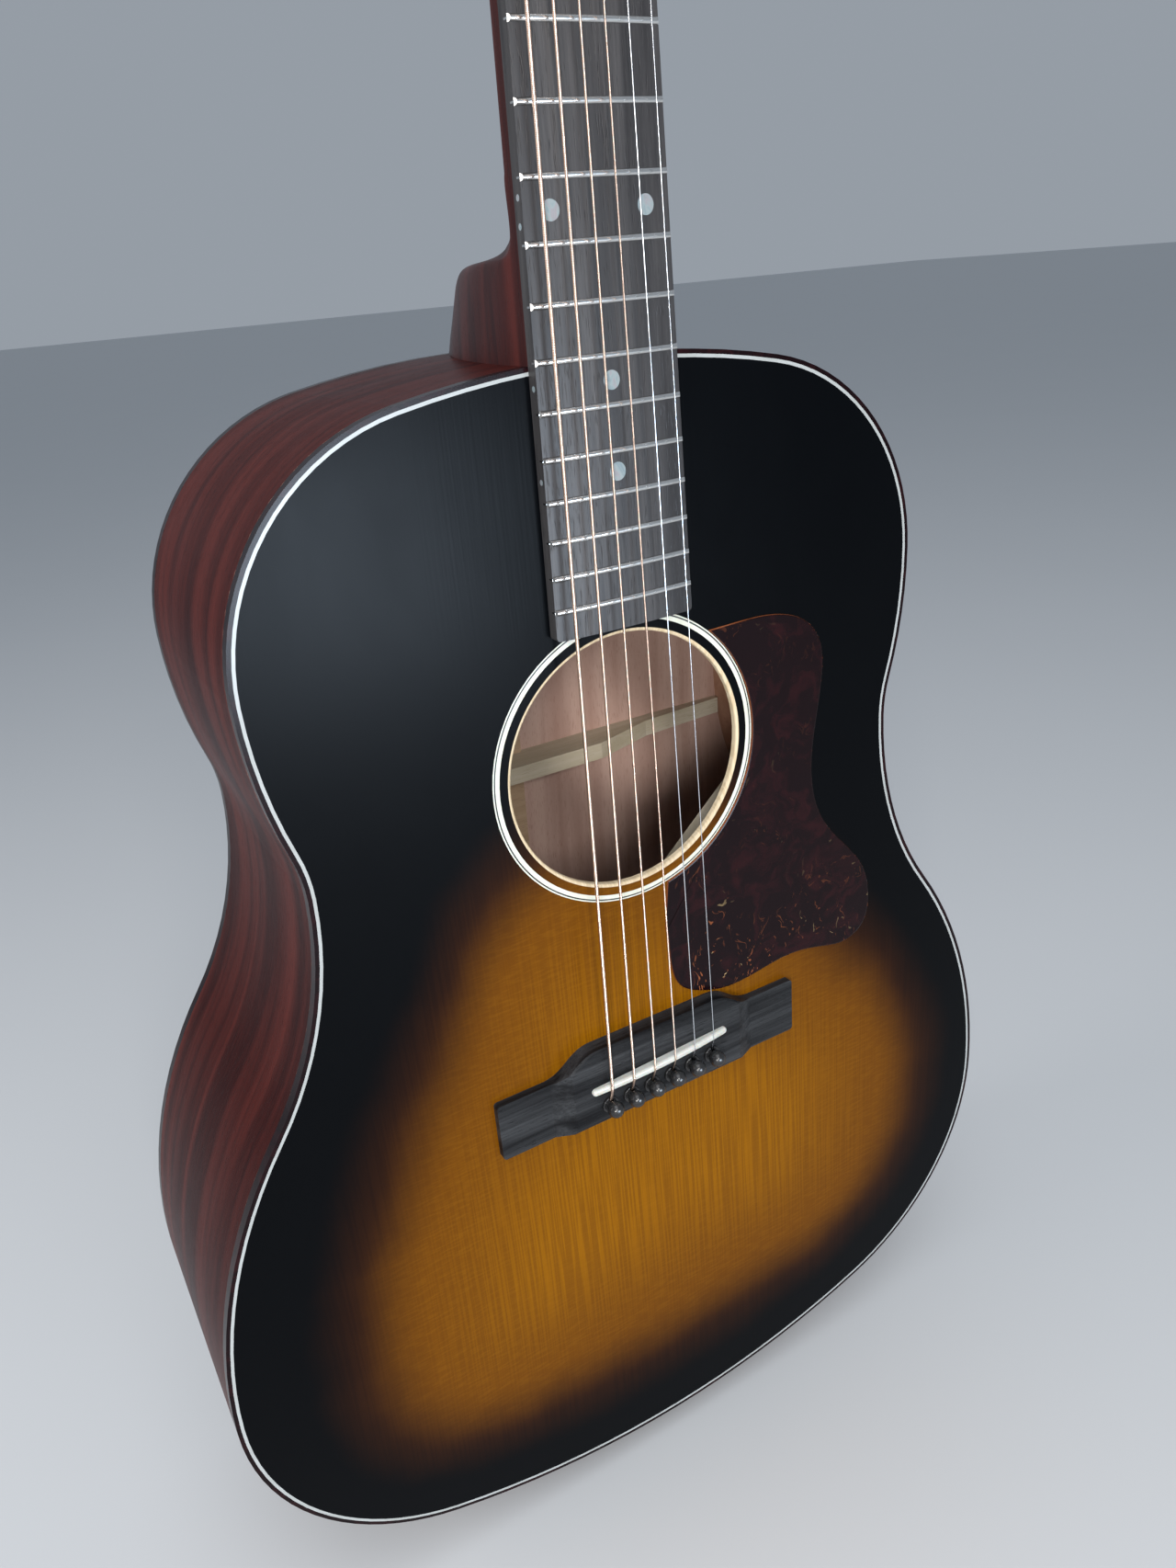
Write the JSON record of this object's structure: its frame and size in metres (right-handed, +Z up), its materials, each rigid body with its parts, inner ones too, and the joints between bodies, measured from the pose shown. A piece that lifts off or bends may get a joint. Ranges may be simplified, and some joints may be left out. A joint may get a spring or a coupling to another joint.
{
  "type": "acoustic guitar",
  "caption": "Steel-string flat-top guitar with a hollow round-shouldered body, sunburst top, fretted neck and geared tuning machines.",
  "frame": {"origin": "tail end of the body on its centreline, in the plane of the soundboard's outer face, where the body rests in a stand", "axes": "+Z up the neck, +X towards the treble side, and the soundboard faces -Y"},
  "size_m": [0.398, 0.1437, 1.0517],
  "materials": {
    "sunburst_spruce": "satin lacquer",
    "mahogany": "satin lacquer",
    "neck_mahogany": "satin lacquer",
    "inner_wood": "raw",
    "brace_spruce": "raw",
    "dark_binding": "gloss",
    "ivory_plastic": "gloss",
    "black_plastic": "gloss",
    "black_lacquer": "satin lacquer",
    "ebony": "satin",
    "fingerboard_wood": "oiled",
    "pearl": "pearl",
    "bone": "polished bone",
    "bronze": "wound bronze",
    "string_steel": "plain wire",
    "steel": "bright",
    "nickel": "nickel plate",
    "brass": "bright",
    "tortoise": "gloss",
    "cream_button": "gloss"
  },
  "bodies": {
    "guitar": {"soundboard": "sunburst_spruce", "back": "mahogany", "side_bass": "mahogany", "side_treble": "mahogany", "neck_block": "inner_wood", "tail_block": "inner_wood", "linings": "inner_wood", "binding_front": "dark_binding", "purfling_front": "ivory_plastic", "binding_back": "dark_binding", "rosette_white": "ivory_plastic", "rosette_black": "black_plastic", "x_braces": "brace_spruce", "top_braces": "brace_spruce", "bridge_plate": "inner_wood", "back_braces": "brace_spruce", "back_strip": "inner_wood", "neck": "neck_mahogany", "heel_cap": "ebony", "truss_rod": "steel", "truss_rod_cover": "black_plastic", "headstock_overlay": "black_lacquer", "headstock_screws": "nickel", "fingerboard": "fingerboard_wood", "inlay_dots": "pearl", "frets": "nickel", "nut": "bone", "bridge": "ebony", "saddle": "bone", "wound_strings": "bronze", "plain_strings": "string_steel", "pickguard": "tortoise", "end_pin": "ebony", "tuner_plates": "nickel", "tuner_bushings": "nickel"},
    "rod_nut": {"truss_rod_nut": "brass"},
    "knob_1": {"tuner_worm_1": "nickel", "tuner_button_1": "cream_button"},
    "post_1": {"tuner_post_1": "nickel"},
    "pin_1": {"bridge_pin_1": "ebony"},
    "knob_2": {"tuner_worm_2": "nickel", "tuner_button_2": "cream_button"},
    "post_2": {"tuner_post_2": "nickel"},
    "pin_2": {"bridge_pin_2": "ebony"},
    "knob_3": {"tuner_worm_3": "nickel", "tuner_button_3": "cream_button"},
    "post_3": {"tuner_post_3": "nickel"},
    "pin_3": {"bridge_pin_3": "ebony"},
    "knob_4": {"tuner_worm_4": "nickel", "tuner_button_4": "cream_button"},
    "post_4": {"tuner_post_4": "nickel"},
    "pin_4": {"bridge_pin_4": "ebony"},
    "knob_5": {"tuner_worm_5": "nickel", "tuner_button_5": "cream_button"},
    "post_5": {"tuner_post_5": "nickel"},
    "pin_5": {"bridge_pin_5": "ebony"},
    "knob_6": {"tuner_worm_6": "nickel", "tuner_button_6": "cream_button"},
    "post_6": {"tuner_post_6": "nickel"},
    "pin_6": {"bridge_pin_6": "ebony"}
  },
  "joints": [
    {"name": "knob_1_turn", "type": "hinge", "parent": "guitar", "child": "knob_1", "pos_m": [-0.0225, 0.0319, 0.90541], "axis": [1, 0, 0], "continuous": true},
    {"name": "post_1_turn", "type": "hinge", "parent": "guitar", "child": "post_1", "pos_m": [-0.0225, 0.01191, 0.90305], "axis": [0, -0.9659, 0.2588], "continuous": true},
    {"name": "pin_1_pull", "type": "slide", "parent": "guitar", "child": "pin_1", "axis": [0, -1, 0], "range_m": [0, 0.026]},
    {"name": "knob_2_turn", "type": "hinge", "parent": "guitar", "child": "knob_2", "pos_m": [-0.0225, 0.04111, 0.93979], "axis": [1, 0, 0], "continuous": true},
    {"name": "post_2_turn", "type": "hinge", "parent": "guitar", "child": "post_2", "pos_m": [-0.0225, 0.02112, 0.93744], "axis": [0, -0.9659, 0.2588], "continuous": true},
    {"name": "pin_2_pull", "type": "slide", "parent": "guitar", "child": "pin_2", "axis": [0, -1, 0], "range_m": [0, 0.026]},
    {"name": "knob_3_turn", "type": "hinge", "parent": "guitar", "child": "knob_3", "pos_m": [-0.0225, 0.05032, 0.97418], "axis": [1, 0, 0], "continuous": true},
    {"name": "post_3_turn", "type": "hinge", "parent": "guitar", "child": "post_3", "pos_m": [-0.0225, 0.03033, 0.97182], "axis": [0, -0.9659, 0.2588], "continuous": true},
    {"name": "pin_3_pull", "type": "slide", "parent": "guitar", "child": "pin_3", "axis": [0, -1, 0], "range_m": [0, 0.026]},
    {"name": "knob_4_turn", "type": "hinge", "parent": "guitar", "child": "knob_4", "pos_m": [0.0225, 0.05032, 0.97418], "axis": [1, 0, 0], "continuous": true},
    {"name": "post_4_turn", "type": "hinge", "parent": "guitar", "child": "post_4", "pos_m": [0.0225, 0.03033, 0.97182], "axis": [0, -0.9659, 0.2588], "continuous": true},
    {"name": "pin_4_pull", "type": "slide", "parent": "guitar", "child": "pin_4", "axis": [0, -1, 0], "range_m": [0, 0.026]},
    {"name": "knob_5_turn", "type": "hinge", "parent": "guitar", "child": "knob_5", "pos_m": [0.0225, 0.04111, 0.93979], "axis": [1, 0, 0], "continuous": true},
    {"name": "post_5_turn", "type": "hinge", "parent": "guitar", "child": "post_5", "pos_m": [0.0225, 0.02112, 0.93744], "axis": [0, -0.9659, 0.2588], "continuous": true},
    {"name": "pin_5_pull", "type": "slide", "parent": "guitar", "child": "pin_5", "axis": [0, -1, 0], "range_m": [0, 0.026]},
    {"name": "knob_6_turn", "type": "hinge", "parent": "guitar", "child": "knob_6", "pos_m": [0.0225, 0.0319, 0.90541], "axis": [1, 0, 0], "continuous": true},
    {"name": "post_6_turn", "type": "hinge", "parent": "guitar", "child": "post_6", "pos_m": [0.0225, 0.01191, 0.90305], "axis": [0, -0.9659, 0.2588], "continuous": true},
    {"name": "pin_6_pull", "type": "slide", "parent": "guitar", "child": "pin_6", "axis": [0, -1, 0], "range_m": [0, 0.026]},
    {"name": "rod_nut_turn", "type": "hinge", "parent": "guitar", "child": "rod_nut", "pos_m": [0, 0.007, 0.86362], "axis": [0, 0, 1], "range_deg": [-180, 180]}
  ],
  "couplings": [
    {"joint": "post_1_turn", "follows": "knob_1_turn", "ratio": -0.071429},
    {"joint": "post_2_turn", "follows": "knob_2_turn", "ratio": -0.071429},
    {"joint": "post_3_turn", "follows": "knob_3_turn", "ratio": -0.071429},
    {"joint": "post_4_turn", "follows": "knob_4_turn", "ratio": 0.071429},
    {"joint": "post_5_turn", "follows": "knob_5_turn", "ratio": 0.071429},
    {"joint": "post_6_turn", "follows": "knob_6_turn", "ratio": 0.071429}
  ]
}
